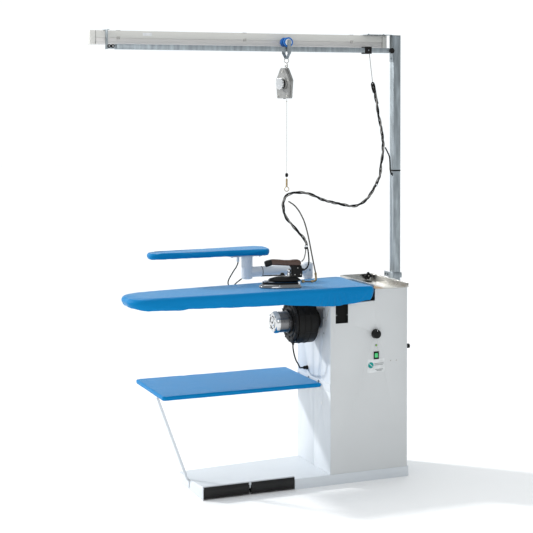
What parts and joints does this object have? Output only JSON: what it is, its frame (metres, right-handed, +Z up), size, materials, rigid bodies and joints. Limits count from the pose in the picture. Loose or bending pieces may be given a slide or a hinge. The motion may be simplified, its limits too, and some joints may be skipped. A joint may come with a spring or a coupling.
{
  "type": "steam generator ironing table",
  "caption": "Vacuum ironing table with steam generator cabinet, swing sleeve board, cloth shelf, foot pedals, overhead gantry and a steam iron on a balancer.",
  "frame": {"origin": "middle of the bounding box in plan, on the floor", "axes": "+Z up from the floor, +X from the board's round tip towards the cabinet and the post, +Y away from the operator"},
  "size_m": [1.607, 0.56, 2.1995],
  "materials": {
    "white_paint": "smooth powder coat, cool white",
    "grey_paint": "fine textured light grey powder coat",
    "black_paint": "semi-gloss black powder coat",
    "black_plastic": "moulded, fine grain",
    "blue_cloth": "tight polyester board cloth with a soft sheen",
    "stainless": "brushed",
    "galvanised": "zinc plated, faint spangle",
    "cork": "pressed cork",
    "brass": "machined",
    "cast_alloy": "as cast, lightly polished",
    "dark_wood": "oiled, dark",
    "green_lens": "clear green lens",
    "lamp_grey": "satin",
    "lamp_diffuser": "milky, ribbed",
    "black_rubber": "matte sheath",
    "grey_braid": "woven sleeve",
    "nylon": "moulded blue nylon"
  },
  "bodies": {
    "stand": {"base_tray": "white_paint", "pedal_axle": "galvanised", "front_panel": "grey_paint", "side_panel_front": "white_paint", "side_panel_rear": "white_paint", "right_panel": "white_paint", "back_panel": "white_paint", "top_tray": "stainless", "rest_mat": "cork", "boiler_tank": "stainless", "steam_valve": "brass", "pilot_lamp": "green_lens", "switch_frame": "black_plastic", "water_inlet": "brass", "cable_gland": "black_plastic", "board_pan": "white_paint", "board_grid": "galvanised", "board_cover": "blue_cloth", "fan_volute": "black_plastic", "fan_front_plate": "black_plastic", "motor_body": "stainless", "motor_lead": "black_rubber", "arm_column": "white_paint", "shelf_bracket": "white_paint", "shelf_panel": "white_paint", "shelf_cover": "blue_cloth", "shelf_brace": "white_paint", "post": "galvanised", "post_clamp": "galvanised", "post_lead": "black_rubber", "rail": "galvanised", "rail_end_bracket": "galvanised", "rail_head_bracket": "galvanised", "rail_stop": "black_rubber", "loop_cord": "grey_braid", "lamp_housing": "lamp_grey", "lamp_diffuser": "lamp_diffuser", "cable_bundle": "black_rubber"},
    "pedal_left": {"pedal_left": "black_paint"},
    "pedal_right": {"pedal_right": "black_paint"},
    "thermostat_knob": {"thermostat_knob": "black_plastic"},
    "switch_rocker": {"switch_rocker": "green_lens"},
    "star_knob": {"star_knob": "black_plastic"},
    "impeller": {"impeller": "cast_alloy"},
    "swing_arm": {"sleeve_arm": "white_paint", "sleeve_riser": "white_paint", "sleeve_cover": "blue_cloth", "sleeve_lead": "black_rubber"},
    "trolley": {"trolley_frame": "galvanised", "balancer_body": "cast_alloy", "balancer_wire": "stainless"},
    "trolley_wheels": {"trolley_wheels": "nylon"},
    "balancer_knob": {"balancer_knob": "cast_alloy"},
    "iron": {"iron_sole": "stainless", "iron_body": "black_plastic", "iron_handle": "dark_wood", "iron_cable_tail": "black_rubber", "handle_lead_tail": "grey_braid", "steam_hose": "grey_braid"},
    "iron_lever": {"iron_lever": "black_plastic"}
  },
  "joints": [
    {"name": "pedal_left_press", "type": "hinge", "parent": "stand", "child": "pedal_left", "pos_m": [-0.2125, -0.196, 0.03], "axis": [1, 0, 0], "range_deg": [0, 4], "stiffness_Nm_per_rad": 2, "springref_deg": -11.46},
    {"name": "pedal_right_press", "type": "hinge", "parent": "stand", "child": "pedal_right", "pos_m": [0.0249, -0.196, 0.03], "axis": [1, 0, 0], "range_deg": [0, 4], "stiffness_Nm_per_rad": 2, "springref_deg": -11.46},
    {"name": "thermostat_turn", "type": "hinge", "parent": "stand", "child": "thermostat_knob", "pos_m": [0.5695, -0.256, 0.722], "axis": [0, -1, 0], "range_deg": [-270, 0]},
    {"name": "switch_rock", "type": "hinge", "parent": "stand", "child": "switch_rocker", "pos_m": [0.5735, -0.253, 0.615], "axis": [1, 0, 0], "range_deg": [-8, 8]},
    {"name": "star_knob_turn", "type": "hinge", "parent": "stand", "child": "star_knob", "pos_m": [0.7165, 0.114, 0.9545], "axis": [0, -1, 0], "range_deg": [0, 360]},
    {"name": "impeller_spin", "type": "hinge", "parent": "stand", "child": "impeller", "pos_m": [0.2335, -0.096, 0.783], "axis": [1, 0, 0], "continuous": true},
    {"name": "arm_swing", "type": "hinge", "parent": "stand", "child": "swing_arm", "pos_m": [0.3915, 0.16, 1], "axis": [0, 0, 1], "range_deg": [-90, 10]},
    {"name": "trolley_slide", "type": "slide", "parent": "stand", "child": "trolley", "axis": [1, 0, 0], "range_m": [-0.28, 0.18], "deforming": ["cable_bundle"]},
    {"name": "wheels_roll", "type": "hinge", "parent": "trolley", "child": "trolley_wheels", "pos_m": [0.175, -0.066, 2.1523], "axis": [0, 1, 0], "range_deg": [-770, 500]},
    {"name": "balancer_knob_turn", "type": "hinge", "parent": "trolley", "child": "balancer_knob", "pos_m": [0.13724, -0.07252, 1.949], "axis": [-0.9744, -0.225, 0], "range_deg": [-360, 360]},
    {"name": "iron_lift", "type": "slide", "parent": "trolley", "child": "iron", "axis": [0, 0, 1], "range_m": [0, 0.12], "deforming": ["steam_hose"]},
    {"name": "steam_lever", "type": "hinge", "parent": "iron", "child": "iron_lever", "pos_m": [0.13022, -0.14466, 1.0194], "axis": [0.1908, 0.9816, 0], "range_deg": [0, 6], "stiffness_Nm_per_rad": 0.05, "springref_deg": -11.46}
  ],
  "couplings": [
    {"joint": "wheels_roll", "follows": "trolley_slide", "rad_per_m": 47.619}
  ]
}
